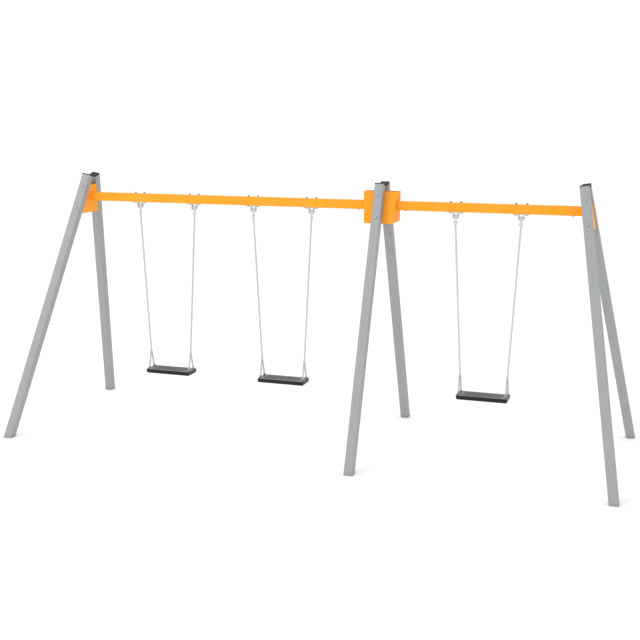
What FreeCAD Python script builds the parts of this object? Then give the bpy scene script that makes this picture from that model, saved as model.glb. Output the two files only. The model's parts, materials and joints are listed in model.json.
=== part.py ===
"""Playground swing frame with three flat seats, as a parametric assembly.

Three A-frames of square steel tube carry two square beams in one line.  Two swings hang
in the long bay and one in the short bay.  X runs along the beams, Z is up and the origin
is on the ground at the centre of the footprint.  All sizes are in millimetres.
"""
import FreeCAD
import Part
import Sketcher
import math
import os

from FreeCAD import Placement, Rotation, Vector

# Driving dimensions.  Every other size and place in the model follows from these.
DIMENSIONS = {
    # square tube, A-frames and beams
    "tube_size": 80.0,
    "tube_wall": 3.0,
    "tube_corner": 6.0,
    "beam_underside": 2220.0,
    "bay_long": 3050.0,
    "bay_short": 1850.0,
    "leg_gap": 113.0,
    "leg_lean": 20.0,
    "frame_splay": 10.0,
    "leg_drop": 2500.0,
    "leg_rise_end": 268.0,
    "leg_rise_middle": 241.0,
    "foot_plate": 8.0,
    # moulded cap on the open end of each leg
    "cap_lid": 9.0,
    "cap_lip": 1.0,
    "cap_chamfer": 2.5,
    "cap_plug": 25.0,
    "cap_slack": 0.3,
    "cap_wall": 4.0,
    "cap_plug_corner": 4.0,
    # welded connectors between legs and beams
    "plate": 8.0,
    "plate_bend": 3.0,
    "set_back": 12.0,
    "plate_rise": 167.0,
    "plate_drop": 115.0,
    "box_half_top": 161.0,
    "box_half_bottom": 128.0,
    "spigot_size": 73.0,
    "spigot_wall": 4.0,
    "spigot_corner": 4.0,
    "spigot_reach": 120.0,
    "leg_bolt_upper": 147.0,
    "leg_bolt_lower": -71.0,
    # places of the swings
    "swing_offset": 975.0,
    "swing_pitch": 1200.0,
    "hanger_half": 292.0,
    "apex_half": 217.5,
    # hanger bracket under the beam
    "base_long": 140.0,
    "base_wide": 60.0,
    "base_thick": 8.0,
    "base_bolt_half": 48.0,
    "ear_inside": 19.5,
    "ear_thick": 5.0,
    "ear_round": 23.0,
    "pivot_drop": 38.0,
    # yoke that swings on the pivot bolt
    "barrel_round": 13.0,
    "barrel_half": 19.0,
    "bush_round": 9.0,
    "run_slack": 0.06,
    "neck_half_top": 18.0,
    "neck_half_bottom": 10.0,
    "neck_thick": 14.0,
    "neck_drop": 37.0,
    "yoke_eye_round": 10.0,
    "yoke_eye_half": 5.8,
    "yoke_drop": 56.0,
    # bow shackles and chain
    "top_bow_wire": 4.0,
    "top_bow_half": 10.5,
    "top_bow_straight": 15.5,
    "top_bow_eye": 8.5,
    "apex_bow_wire": 3.0,
    "apex_bow_half": 9.8,
    "apex_bow_straight": 11.5,
    "apex_bow_eye": 6.2,
    "eye_over": 0.3,
    "pin_head_round": 6.5,
    "pin_head": 3.5,
    "pin_end": 1.0,
    "link_pitch": 18.5,
    "chain_links": 74,
    "seat_chain_links": 9,
    "chain_rod": 5.5,
    "chain_end": 9.5,
    "seat_rod": 2.7,
    "seat_rod_end": 6.5,
    "end_ring_round": 9.0,
    "end_ring_wide": 6.0,
    "leg_stagger": 3.2,
    # seat
    "seat_long": 472.0,
    "seat_deep": 184.0,
    "seat_thick": 42.0,
    "seat_corner": 12.0,
    "seat_edge": 6.0,
    "lug_reach": 46.0,
    "lug_height": 9.0,
    "lug_half_gap": 3.5,
    "lug_thick": 3.0,
    "lug_round": 7.5,
    "core_long": 456.0,
    "core_deep": 144.0,
    "core_thick": 6.0,
    "core_depth": 20.0,
    "recess_long": 40.0,
    "recess_wide": 22.0,
    "recess_deep": 5.0,
    # round-head leg bolts
    "large_shank": 8.0,
    "dome_round": 14.5,
    "dome_height": 8.0,
    "dome_edge": 6.5,
    "large_washer_round": 17.0,
    "large_washer": 2.5,
    # hexagon fasteners: shank radius, corner radius, head height, nut height
    "middle_shank": 6.0,
    "middle_corner": 10.97,
    "middle_head": 7.5,
    "middle_nut": 10.0,
    "middle_flange_round": 13.0,
    "middle_flange": 2.5,
    "small_shank": 4.0,
    "small_corner": 7.5,
    "small_head": 3.5,
    "small_nut": 5.0,
    "pivot_shank": 6.0,
    "pivot_corner": 10.97,
    "pivot_head": 3.5,
    "pivot_nut": 5.0,
    "thread_slack": 0.05,
    "hole_slack": 0.5,
    "thread_end": 3.0,
}

X_AXIS = Vector(1, 0, 0)
Y_AXIS = Vector(0, 1, 0)
Z_AXIS = Vector(0, 0, 1)

# Turns that point a part's own +Z along another direction.
ALONG_X = Rotation(Y_AXIS, 90)
ALONG_Y = Rotation(X_AXIS, -90)
UPRIGHT = Rotation()
UPSIDE_DOWN = Rotation(X_AXIS, 180)

doc = FreeCAD.newDocument("swing_frame")
sub_parts = []


# ---------------------------------------------------------------- document helpers

def make_sheet():
    """Write the driving dimensions to a spreadsheet with one alias per row."""
    sheet = doc.addObject("Spreadsheet::Sheet", "dims")
    for row, (alias, value) in enumerate(DIMENSIONS.items(), 1):
        sheet.set(f"A{row}", alias)
        sheet.set(f"B{row}", str(value))
        sheet.setAlias(f"B{row}", alias)
    doc.recompute()
    return sheet


def dim(alias):
    """Value of one driving dimension, read back from the spreadsheet."""
    return float(SHEET.get(alias))


def at(x=0.0, y=0.0, z=0.0, turn=UPRIGHT):
    return Placement(Vector(x, y, z), turn)


def primitive(kind, name, place, **sizes):
    """Add a Part primitive whose sizes are expressions on the spreadsheet."""
    solid = doc.addObject(f"Part::{kind}", name)
    for size, expression in sizes.items():
        solid.setExpression(size, expression)
    solid.Placement = place
    return solid


def block(name, place, length, width, height):
    """Box centred on the place in X and Y, standing on it in Z."""
    box = primitive("Box", name, place, Length=length, Width=width, Height=height)
    doc.recompute([box])
    centre = at(-box.Length.Value / 2, -box.Width.Value / 2)
    box.Placement = place * centre
    return box


def round_edges(base, radius, wanted):
    """Fillet the edges of a solid that a test picks out."""
    doc.recompute([base])
    numbers = [number for number, edge in enumerate(base.Shape.Edges, 1) if wanted(edge)]
    rounded = doc.addObject("Part::Fillet", f"{base.Name}_rounded")
    rounded.Base = base
    rounded.Edges = [(number, radius, radius) for number in numbers]
    return rounded


def round_corners(base, run, radius):
    """Fillet the four edges of a solid that lie nearest to a direction, its run."""
    nearly_along = math.cos(math.radians(30))
    return round_edges(base, radius, lambda edge:
                       abs(edge.tangentAt(edge.FirstParameter).dot(run)) > nearly_along)


def cylinder(name, place, radius, height):
    return primitive("Cylinder", name, place, Radius=radius, Height=height)


def frustum(name, place, low_x, low_y, high_x, high_y, bottom, top):
    """Four-sided tapered solid: half sizes at its bottom and its top, along local Z."""
    wedge = primitive(
        "Wedge", name, place * at(turn=Rotation(X_AXIS, 90)),
        Xmin=f"-({low_x})", Xmax=low_x, Zmin=f"-({low_y})", Zmax=low_y,
        X2min=f"-({high_x})", X2max=high_x, Z2min=f"-({high_y})", Z2max=high_y,
        Ymin=bottom, Ymax=top)
    return wedge


def cut(name, base, *tools):
    """Base with every tool taken away."""
    tool = tools[0]
    if len(tools) > 1:
        tool = doc.addObject("Part::Compound", f"{name}_tools")
        tool.Links = list(tools)
    result = doc.addObject("Part::Cut", name)
    result.Base = base
    result.Tool = tool
    return result


def fuse(name, *shapes):
    result = doc.addObject("Part::MultiFuse", name)
    result.Shapes = list(shapes)
    return result


def group(name, members):
    """Several separate solids handled as one sub-part."""
    result = doc.addObject("Part::Compound", name)
    result.Links = members
    return result


def keep(solid, label):
    """Name a finished sub-part and list it for export."""
    solid.Label = label
    sub_parts.append(solid)
    return solid


# ---------------------------------------------------------------- sketch helpers

def new_sketch(body, name, plane="XY_Plane", offset=None):
    """Sketch on one of the body's own origin planes."""
    sketch = body.newObject("Sketcher::SketchObject", name)
    features = body.Origin.OriginFeatures
    face = next(feature for feature in features if feature.Role == plane)
    sketch.AttachmentSupport = [(face, "")]
    sketch.MapMode = "FlatFace"
    if offset:
        sketch.AttachmentOffset = offset
    return sketch


def bind(sketch, constraint, alias_expression):
    """Add a dimensional constraint and drive it from the spreadsheet."""
    index = sketch.addConstraint(constraint)
    name = f"size_{index}"
    sketch.renameConstraint(index, name)
    sketch.setExpression(f"Constraints.{name}", alias_expression)


def draw_rectangle(sketch, width, depth):
    """Rectangle centred on the sketch origin."""
    corners = [Vector(-9, -7, 0), Vector(9, -7, 0), Vector(9, 7, 0), Vector(-9, 7, 0)]
    for start, end in zip(corners, corners[1:] + corners[:1]):
        sketch.addGeometry(Part.LineSegment(start, end), False)
    for line in range(4):
        sketch.addConstraint(Sketcher.Constraint("Coincident", line, 2, (line + 1) % 4, 1))
    for line in (0, 2):
        sketch.addConstraint(Sketcher.Constraint("Horizontal", line))
    for line in (1, 3):
        sketch.addConstraint(Sketcher.Constraint("Vertical", line))
    sketch.addConstraint(Sketcher.Constraint("Symmetric", 0, 1, 2, 1, -1, 1))
    bind(sketch, Sketcher.Constraint("DistanceX", 0, 1, 0, 2, 18.0), width)
    bind(sketch, Sketcher.Constraint("DistanceY", 1, 1, 1, 2, 14.0), depth)


def draw_circle(sketch, x_expression, y_value, radius, side=1):
    """Circle at a bound distance to one side of the sketch's vertical axis."""
    circle = sketch.addGeometry(Part.Circle(Vector(side * 20, y_value, 0), Z_AXIS, 3), False)
    bind(sketch, Sketcher.Constraint("Radius", circle, 3.0), radius)
    if x_expression is None:
        sketch.addConstraint(Sketcher.Constraint("Coincident", circle, 3, -1, 1))
        return
    sketch.addConstraint(Sketcher.Constraint("PointOnObject", circle, 3, -1))
    ends = (-1, 1, circle, 3) if side > 0 else (circle, 3, -1, 1)
    bind(sketch, Sketcher.Constraint("DistanceX", *ends, 20.0), x_expression)


def draw_tab(sketch, radius, height):
    """Tab with a round end about the sketch origin and a straight top edge."""
    sketch.addGeometry(Part.ArcOfCircle(
        Part.Circle(Vector(0, 0, 0), Z_AXIS, 10), math.pi, 2 * math.pi), False)
    sketch.addGeometry(Part.LineSegment(Vector(10, 0, 0), Vector(10, 20, 0)), False)
    sketch.addGeometry(Part.LineSegment(Vector(10, 20, 0), Vector(-10, 20, 0)), False)
    sketch.addGeometry(Part.LineSegment(Vector(-10, 20, 0), Vector(-10, 0, 0)), False)
    sketch.addConstraint(Sketcher.Constraint("Coincident", 0, 3, -1, 1))
    sketch.addConstraint(Sketcher.Constraint("Coincident", 1, 2, 2, 1))
    sketch.addConstraint(Sketcher.Constraint("Coincident", 2, 2, 3, 1))
    sketch.addConstraint(Sketcher.Constraint("Tangent", 0, 2, 1, 1))
    sketch.addConstraint(Sketcher.Constraint("Tangent", 3, 2, 0, 1))
    sketch.addConstraint(Sketcher.Constraint("Horizontal", 2))
    sketch.addConstraint(Sketcher.Constraint("Vertical", 1))
    bind(sketch, Sketcher.Constraint("Radius", 0, 10.0), radius)
    bind(sketch, Sketcher.Constraint("DistanceY", 1, 1, 1, 2, 20.0), height)


def pad(body, name, sketch, length, down=False):
    feature = body.newObject("PartDesign::Pad", name)
    feature.Profile = sketch
    feature.setExpression("Length", length)
    feature.Reversed = down
    sketch.Visibility = False
    return feature


def edges_where(feature, test):
    """Names of the edges whose end points all pass the test."""
    names = []
    for number, edge in enumerate(feature.Shape.Edges, 1):
        if all(test(vertex.Point) for vertex in edge.Vertexes):
            names.append(f"Edge{number}")
    return names


def upright_edges(feature, low):
    """Names of the edges that rise straight from a given height."""
    names = []
    for number, edge in enumerate(feature.Shape.Edges, 1):
        first, last = edge.Vertexes[0].Point, edge.Vertexes[-1].Point
        level = min(first.z, last.z)
        sideways = math.hypot(first.x - last.x, first.y - last.y)
        if abs(level - low) < 0.01 and abs(first.z - last.z) > 1.0 and sideways < 0.01:
            names.append(f"Edge{number}")
    return names


def dress(body, kind, name, feature, edges, size, expression):
    """Fillet or chamfer on named edges of the body's last feature."""
    dressed = body.newObject(f"PartDesign::{kind}", name)
    dressed.Base = (feature, edges)
    dressed.setExpression(size, expression)
    return dressed


# ---------------------------------------------------------------- fasteners

def bolt(name, place, kind, length):
    """Hexagon bolt: its bearing face is at the place, its shank runs along local +Z."""
    shank = cylinder(f"{name}_shank", place, f"dims.{kind}_shank", length)
    head = primitive("Prism", f"{name}_head", place * at(turn=UPSIDE_DOWN),
                     Circumradius=f"dims.{kind}_corner", Height=f"dims.{kind}_head")
    head.Polygon = 6
    return fuse(name, shank, head)


def dome_bolt(name, place, length):
    """Round-head bolt: its bearing face is at the place, its shank runs along local +Z."""
    shank = cylinder(f"{name}_shank", place, "dims.large_shank", length)
    disc = cylinder(f"{name}_disc", place * at(turn=UPSIDE_DOWN), "dims.dome_round",
                    "dims.dome_height")
    outside = place.multVec(Vector(0, 0, -dim("dome_height")))
    dome = round_edges(disc, dim("dome_edge"), lambda edge:
                       edge.CenterOfMass.distanceToPoint(outside) < 0.01)
    return fuse(name, shank, dome)


def nut(name, place, kind):
    """Hexagon nut that stands on the place along local +Z."""
    body = primitive("Prism", f"{name}_body", place,
                     Circumradius=f"dims.{kind}_corner", Height=f"dims.{kind}_nut")
    body.Polygon = 6
    thread = cylinder(f"{name}_thread", place,
                      f"dims.{kind}_shank + dims.thread_slack", f"dims.{kind}_nut")
    return cut(name, body, thread)


def flange_nut(name, place):
    """Nut with a fixed round flange, for the top of the beam."""
    flange = cylinder(f"{name}_flange", place, "dims.middle_flange_round", "dims.middle_flange")
    body = primitive("Prism", f"{name}_body", place, Circumradius="dims.middle_corner",
                     Height="dims.middle_flange + dims.middle_nut")
    body.Polygon = 6
    thread = cylinder(f"{name}_thread", place, "dims.middle_shank + dims.thread_slack",
                      "dims.middle_flange + dims.middle_nut")
    return cut(name, fuse(f"{name}_blank", flange, body), thread)


def washer(name, place):
    disc = cylinder(f"{name}_disc", place, "dims.large_washer_round", "dims.large_washer")
    hole = cylinder(f"{name}_hole", place, "dims.large_shank + dims.hole_slack",
                    "dims.large_washer")
    return cut(name, disc, hole)


# ---------------------------------------------------------------- places

SHEET = make_sheet()
LEAN = math.radians(dim("leg_lean"))
HALF_TUBE = dim("tube_size") / 2
BEAM_UNDERSIDE = dim("beam_underside")
BEAM_TOP = BEAM_UNDERSIDE + dim("tube_size")
HALF_LENGTH = (dim("bay_long") + dim("bay_short")) / 2
MIDDLE_X = dim("bay_long") - HALF_LENGTH

# Name, place along X, splay about Y and direction of the bay that a frame closes.
FRAMES = {
    "left": (-HALF_LENGTH, dim("frame_splay"), 1),
    "middle": (MIDDLE_X, 0.0, 0),
    "right": (HALF_LENGTH, -dim("frame_splay"), -1),
}
SIDES = {"front": 0.0, "rear": 180.0}
BOLT_STATIONS = {"upper": "leg_bolt_upper", "lower": "leg_bolt_lower"}

SWING_CENTRES = {
    1: MIDDLE_X - dim("swing_offset") - dim("swing_pitch"),
    2: MIDDLE_X - dim("swing_offset"),
    3: MIDDLE_X + dim("swing_offset"),
}
HANDS = {"left": -1, "right": 1}


def frame_place(frame):
    """Plane of one A-frame, with its origin at the beam's underside."""
    x, splay, _ = FRAMES[frame]
    return at(x, 0, BEAM_UNDERSIDE, Rotation(Y_AXIS, splay))


def leg_place(frame, side):
    """Centre line of one leg, with local +Z up the leg and -Y on its outer face."""
    centre = dim("leg_gap") + HALF_TUBE / math.cos(LEAN)
    lean = at(0, -centre, 0, Rotation(X_AXIS, -dim("leg_lean")))
    return frame_place(frame) * at(turn=Rotation(Z_AXIS, SIDES[side])) * lean


def leg_rise(frame):
    return "dims.leg_rise_middle" if frame == "middle" else "dims.leg_rise_end"


def bolt_places():
    """Place of every leg bolt's axis, on the leg's outer face and pointing inwards."""
    places = {}
    for frame in FRAMES:
        for side in SIDES:
            for station, alias in BOLT_STATIONS.items():
                local = at(0, -HALF_TUBE, dim(alias), ALONG_Y)
                places[f"{frame}_{side}_{station}"] = leg_place(frame, side) * local
    return places


LEG_BOLTS = bolt_places()


def leg_bolt_holes(name, frame, side=None, slack="hole_slack"):
    """Cylinders for the bolt holes of one leg, or of a whole frame."""
    wanted = f"{frame}_{side}_" if side else f"{frame}_"
    holes = []
    for key, place in LEG_BOLTS.items():
        if key.startswith(wanted):
            holes.append(cylinder(f"{name}_{key}_hole", place * at(z=-HALF_TUBE),
                                  f"dims.large_shank + dims.{slack}", "3 * dims.tube_size"))
    return holes


def hanger_places():
    """Point on the beam's underside above every hanger."""
    places = {}
    for number, centre in SWING_CENTRES.items():
        for hand, sign in HANDS.items():
            places[number, hand] = Vector(centre + sign * dim("hanger_half"), 0, BEAM_UNDERSIDE)
    return places


HANGERS = hanger_places()


def pivot(number, hand):
    return HANGERS[number, hand] - Vector(0, 0, dim("pivot_drop"))


def bow_inside(kind):
    """Distance from a shackle's pin to the inside of its bow."""
    return dim(f"{kind}_bow_straight") + dim(f"{kind}_bow_half") - dim(f"{kind}_bow_wire")


def chain_line(number, hand):
    """Start and end of one chain: the inside faces of the bows that it joins."""
    sign = HANDS[hand]
    top = pivot(number, hand) - Vector(0, 0, dim("yoke_drop") + bow_inside("top"))
    length = dim("chain_links") * dim("link_pitch")
    slant = dim("hanger_half") - dim("apex_half")
    drop = math.sqrt(length ** 2 - slant ** 2)
    return top, top - Vector(sign * slant, 0, drop)


def apex(number, hand):
    """Centre of the pin that the two seat chains hang on."""
    return chain_line(number, hand)[1] - Vector(0, 0, bow_inside("apex"))


def seat_chain_reach():
    """Distance from an apex pin to a seat bolt along a tight seat chain."""
    return dim("seat_chain_links") * dim("link_pitch") - 2 * dim("small_shank")


def lug(number, hand, side):
    """Centre of one seat bolt."""
    drop = math.sqrt(seat_chain_reach() ** 2 - dim("lug_reach") ** 2)
    sign = 1 if side == "rear" else -1
    return apex(number, hand) + Vector(
        sign * dim("leg_stagger"), sign * dim("lug_reach"), -drop)


def seat_top(number):
    """Centre of the seat's upper face."""
    height = lug(number, "left", "front").z - dim("lug_height")
    return Vector(SWING_CENTRES[number], 0, height)


# ---------------------------------------------------------------- A-frames

def make_ground():
    """Two slabs that trim the feet: one to the ground, one to the foot plate."""
    ground = block("ground", at(z=-500), "3 * dims.bay_long", "dims.bay_long", "500")
    under = block("under_plate", at(z=-500), "3 * dims.bay_long", "dims.bay_long",
                  "500 + dims.foot_plate")
    return ground, under


def make_leg(frame, side, ground, under):
    """Square tube cut level at the ground and closed there by a welded plate."""
    name = f"leg_{frame}_{side}"
    place = leg_place(frame, side) * at(z=-dim("leg_drop"))
    height = f"dims.leg_drop + {leg_rise(frame)}"
    outside = block(f"{name}_outside", place, "dims.tube_size", "dims.tube_size", height)
    bore = "dims.tube_size - 2 * dims.tube_wall"
    inside = block(f"{name}_inside", place, bore, bore, height)
    run = place.Rotation.multVec(Z_AXIS)
    inner_corner = dim("tube_corner") - dim("tube_wall")
    hollow = cut(f"{name}_hollow", round_corners(inside, run, inner_corner), under)
    tube = cut(f"{name}_tube", round_corners(outside, run, dim("tube_corner")), hollow)
    trimmed = cut(f"{name}_trimmed", tube, ground)
    return keep(cut(name, trimmed, *leg_bolt_holes(name, frame, side)), name)


def make_cap(name, place):
    """Lid over the tube's end with a hollow plug inside it."""
    body = doc.addObject("PartDesign::Body", name)
    lid_size = "dims.tube_size + 2 * dims.cap_lip"
    lid_outline = new_sketch(body, f"{name}_lid_outline")
    draw_rectangle(lid_outline, lid_size, lid_size)
    lid = pad(body, f"{name}_lid", lid_outline, "dims.cap_lid")
    doc.recompute()
    corners = dress(body, "Fillet", f"{name}_corners", lid, upright_edges(lid, 0.0),
                    "Radius", "dims.tube_corner + dims.cap_lip")
    doc.recompute()
    rim = edges_where(corners, lambda point: abs(point.z - dim("cap_lid")) < 0.01)
    dress(body, "Chamfer", f"{name}_rim", corners, rim, "Size", "dims.cap_chamfer")
    plug_size = "dims.tube_size - 2 * dims.tube_wall - 2 * dims.cap_slack"
    plug_outline = new_sketch(body, f"{name}_plug_outline")
    draw_rectangle(plug_outline, plug_size, plug_size)
    plug = pad(body, f"{name}_plug", plug_outline, "dims.cap_plug", down=True)
    doc.recompute()
    dress(body, "Fillet", f"{name}_plug_corners", plug, upright_edges(plug, -dim("cap_plug")),
          "Radius", "dims.cap_plug_corner")
    core_size = f"{plug_size} - 2 * dims.cap_wall"
    core_outline = new_sketch(body, f"{name}_core_outline")
    draw_rectangle(core_outline, core_size, core_size)
    core = body.newObject("PartDesign::Pocket", f"{name}_core")
    core.Profile = core_outline
    core.setExpression("Length", "dims.cap_plug")
    body.Placement = place
    return body


def make_caps(frame):
    rise = dim("leg_rise_middle") if frame == "middle" else dim("leg_rise_end")
    caps = []
    for side in SIDES:
        place = leg_place(frame, side) * at(z=rise)
        caps.append(make_cap(f"cap_{frame}_{side}", place))
    return keep(group(f"caps_{frame}", caps), f"leg_caps_{frame}")


# ---------------------------------------------------------------- connectors and beams

GAP_BOTTOM = "dims.leg_gap + dims.plate_drop * tan(dims.leg_lean * 1 deg)"
GAP_TOP = "dims.leg_gap - dims.plate_rise * tan(dims.leg_lean * 1 deg)"
PLATE_ALONG_Y = "dims.plate / cos(dims.leg_lean * 1 deg)"


def spigot_blank(name, x, length):
    """Solid bar along X with a spigot's outer section, and the place it was made at."""
    place = at(x, 0, BEAM_UNDERSIDE + (dim("tube_size") - dim("spigot_size")) / 2)
    bar = block(name, place, length, "dims.spigot_size", "dims.spigot_size")
    return round_corners(bar, X_AXIS, dim("spigot_corner")), place


def spigot(name, x, length):
    """Square tube along X that a beam slides over, centred on x."""
    outside, place = spigot_blank(f"{name}_outside", x, length)
    bore = "dims.spigot_size - 2 * dims.spigot_wall"
    inside = block(f"{name}_inside", place * at(z=dim("spigot_wall")), length, bore, bore)
    return cut(name, outside, inside)


def middle_blank(name, shrink_x="0", shrink_y="0"):
    """Tapered four-sided form of the middle connector."""
    return frustum(
        name, frame_place("middle"),
        f"dims.box_half_bottom - {shrink_x}", f"{GAP_BOTTOM} - {shrink_y}",
        f"dims.box_half_top - {shrink_x}", f"{GAP_TOP} - {shrink_y}",
        "-dims.plate_drop", "dims.plate_rise")


def end_blank(name, frame, shrink_x="0", shrink_y="0"):
    """Form of an end connector: flush with the legs inwards, set back from them outwards."""
    _, _, inwards = FRAMES[frame]
    place = frame_place(frame) * at(x=inwards * dim("set_back") / 2)
    half = f"(dims.tube_size - dims.set_back) / 2 - {shrink_x}"
    return frustum(name, place, half, f"{GAP_BOTTOM} - {shrink_y}",
                   half, f"{GAP_TOP} - {shrink_y}", "-dims.plate_drop", "dims.plate_rise")


def welded_box(name, frame, outside, inside):
    """Four bent and welded walls between two legs, open above and below."""
    upright = frame_place(frame).Rotation.multVec(Z_AXIS)
    bent = round_corners(outside, upright, dim("plate_bend"))
    return cut(f"{name}_shell", bent, inside)


def make_middle_connector(screw_holes):
    """Welded box and the spigot through both its sides."""
    name = "connector_middle"
    length = "2 * (dims.box_half_top + dims.spigot_reach)"
    shell = welded_box(name, "middle", middle_blank(f"{name}_outside"),
                       middle_blank(f"{name}_inside", "dims.plate", PLATE_ALONG_Y))
    way, _ = spigot_blank(f"{name}_way", MIDDLE_X, length)
    threads = leg_bolt_holes(name, "middle", slack="thread_slack")
    keep(cut(name, shell, way, *threads), name)
    tube = spigot("spigot_middle_tube", MIDDLE_X, length)
    keep(cut("spigot_middle", tube, *screw_holes), "spigot_middle")


def end_trim(name, frame, depth):
    """Slab outside a plane at some depth behind the outer faces of an end frame."""
    _, _, inwards = FRAMES[frame]
    reach = dim("bay_short") / 2
    centre = inwards * (depth - HALF_TUBE - reach / 2)
    place = frame_place(frame) * at(x=centre, z=-dim("tube_size"))
    return block(name, place, "dims.bay_short / 2", "3 * dims.tube_size", "3 * dims.tube_size")


def make_end_connector(frame, screw_holes):
    """Welded box, and the spigot that starts at its outer wall and leaves by the inner one."""
    name = f"connector_{frame}"
    x, _, _ = FRAMES[frame]
    length = "2 * (dims.tube_size + dims.spigot_reach)"
    outer_wall = end_trim(f"{name}_trim", frame, dim("set_back") + dim("plate"))
    shell = welded_box(name, frame, end_blank(f"{name}_outside", frame),
                       end_blank(f"{name}_inside", frame, "dims.plate", PLATE_ALONG_Y))
    bar, _ = spigot_blank(f"{name}_bar", x, length)
    way = cut(f"{name}_way", bar, outer_wall)
    threads = leg_bolt_holes(name, frame, slack="thread_slack")
    keep(cut(name, shell, way, *threads), name)
    tube = spigot(f"spigot_{frame}_tube", x, length)
    keep(cut(f"spigot_{frame}", tube, outer_wall, *screw_holes), f"spigot_{frame}")


def screw_places():
    """Point on the beam's underside of the screw that locks each beam end."""
    middle = dim("box_half_top") + dim("spigot_reach") / 2
    end = dim("tube_size") + dim("spigot_reach") / 2
    stations = {
        "left": [-HALF_LENGTH + end],
        "middle": [MIDDLE_X - middle, MIDDLE_X + middle],
        "right": [HALF_LENGTH - end],
    }
    return {frame: [Vector(x, 0, BEAM_UNDERSIDE) for x in xs] for frame, xs in stations.items()}


SCREWS = screw_places()


def screw_cutters(name, frame):
    """Tapping holes through the lower wall of a connector's spigots."""
    return [cylinder(f"{name}_tap_{index}", Placement(point, UPRIGHT),
                     "dims.middle_shank + dims.thread_slack", "dims.tube_size / 2")
            for index, point in enumerate(SCREWS[frame])]


def make_beam(label, x_start, x_end, bay, ends):
    """Square tube between two frames, trimmed where it meets their connectors."""
    middle = at((x_start + x_end) / 2, 0, BEAM_UNDERSIDE)
    length = f"{bay} + dims.tube_size"
    outside = block(f"{label}_outside", middle, length, "dims.tube_size", "dims.tube_size")
    bore = "dims.tube_size - 2 * dims.tube_wall"
    inside = block(f"{label}_inside", middle * at(z=dim("tube_wall")), length, bore, bore)
    inner_corner = dim("tube_corner") - dim("tube_wall")
    tube = cut(f"{label}_tube", round_corners(outside, X_AXIS, dim("tube_corner")),
               round_corners(inside, X_AXIS, inner_corner))
    tools = []
    for frame in ends:
        if frame == "middle":
            tools.append(middle_blank(f"{label}_trim_middle"))
        else:
            tools.append(end_trim(f"{label}_trim_{frame}", frame, dim("tube_size")))
    for index, point in enumerate(SCREWS["left"] + SCREWS["middle"] + SCREWS["right"]):
        if x_start < point.x < x_end:
            tools.append(cylinder(f"{label}_screw_{index}", Placement(point, UPRIGHT),
                                  "dims.middle_shank + dims.hole_slack", "dims.tube_size / 2"))
    for (number, hand), point in HANGERS.items():
        if x_start < point.x < x_end:
            tools += hanger_bolt_holes(f"{label}_{number}_{hand}", point)
    return keep(cut(label, tube, *tools), label)


def hanger_bolt_holes(name, point):
    holes = []
    for sign in HANDS.values():
        place = at(point.x + sign * dim("base_bolt_half"), 0, BEAM_UNDERSIDE)
        holes.append(cylinder(f"{name}_hole_{sign + 1}", place,
                              "dims.middle_shank + dims.hole_slack", "dims.tube_size"))
    return holes


# ---------------------------------------------------------------- frame fasteners

def make_leg_fasteners():
    """Two bolts and washers through each leg, screwed into the tapped connector plate."""
    length = "dims.large_washer + dims.tube_size + dims.plate"
    bolts, washers = [], []
    for key, place in LEG_BOLTS.items():
        seating = place * at(z=-dim("large_washer"))
        bolts.append(dome_bolt(f"leg_bolt_{key}", seating, length))
        washers.append(washer(f"leg_washer_{key}", seating))
    keep(group("leg_bolt_set", bolts), "leg_bolts")
    keep(group("leg_washer_set", washers), "leg_washers")


def make_beam_screws():
    """Screws up through the beam's lower wall into the spigots."""
    length = "dims.tube_wall + dims.spigot_wall + 2 * dims.thread_end"
    screws = []
    for frame, points in SCREWS.items():
        for index, point in enumerate(points):
            screws.append(bolt(f"beam_screw_{frame}_{index}", Placement(point, UPRIGHT),
                               "middle", length))
    keep(group("beam_screw_set", screws), "beam_screws")


# ---------------------------------------------------------------- hangers

def make_bracket(name, point):
    """Base plate with two ears: the fixed half of a hanger."""
    body = doc.addObject("PartDesign::Body", name)
    base_outline = new_sketch(body, f"{name}_base_outline")
    draw_rectangle(base_outline, "dims.base_long", "dims.base_wide")
    for side in HANDS.values():
        draw_circle(base_outline, "dims.base_bolt_half", 0.0,
                    "dims.middle_shank + dims.hole_slack", side)
    pad(body, f"{name}_base", base_outline, "dims.base_thick", down=True)
    inside = at(0, -dim("pivot_drop"), dim("ear_inside"))
    ear_outline = new_sketch(body, f"{name}_ear_outline", "YZ_Plane", inside)
    draw_tab(ear_outline, "dims.ear_round", "dims.pivot_drop - dims.base_thick")
    draw_circle(ear_outline, None, 0.0, "dims.pivot_shank + dims.thread_slack")
    ear = pad(body, f"{name}_ear", ear_outline, "dims.ear_thick")
    twin = body.newObject("PartDesign::Mirrored", f"{name}_twin")
    features = body.Origin.OriginFeatures
    plane = next(feature for feature in features if feature.Role == "YZ_Plane")
    twin.Originals = [ear]
    twin.MirrorPlane = (plane, [""])
    body.Tip = twin
    body.Placement = Placement(point, UPRIGHT)
    return body


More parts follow.
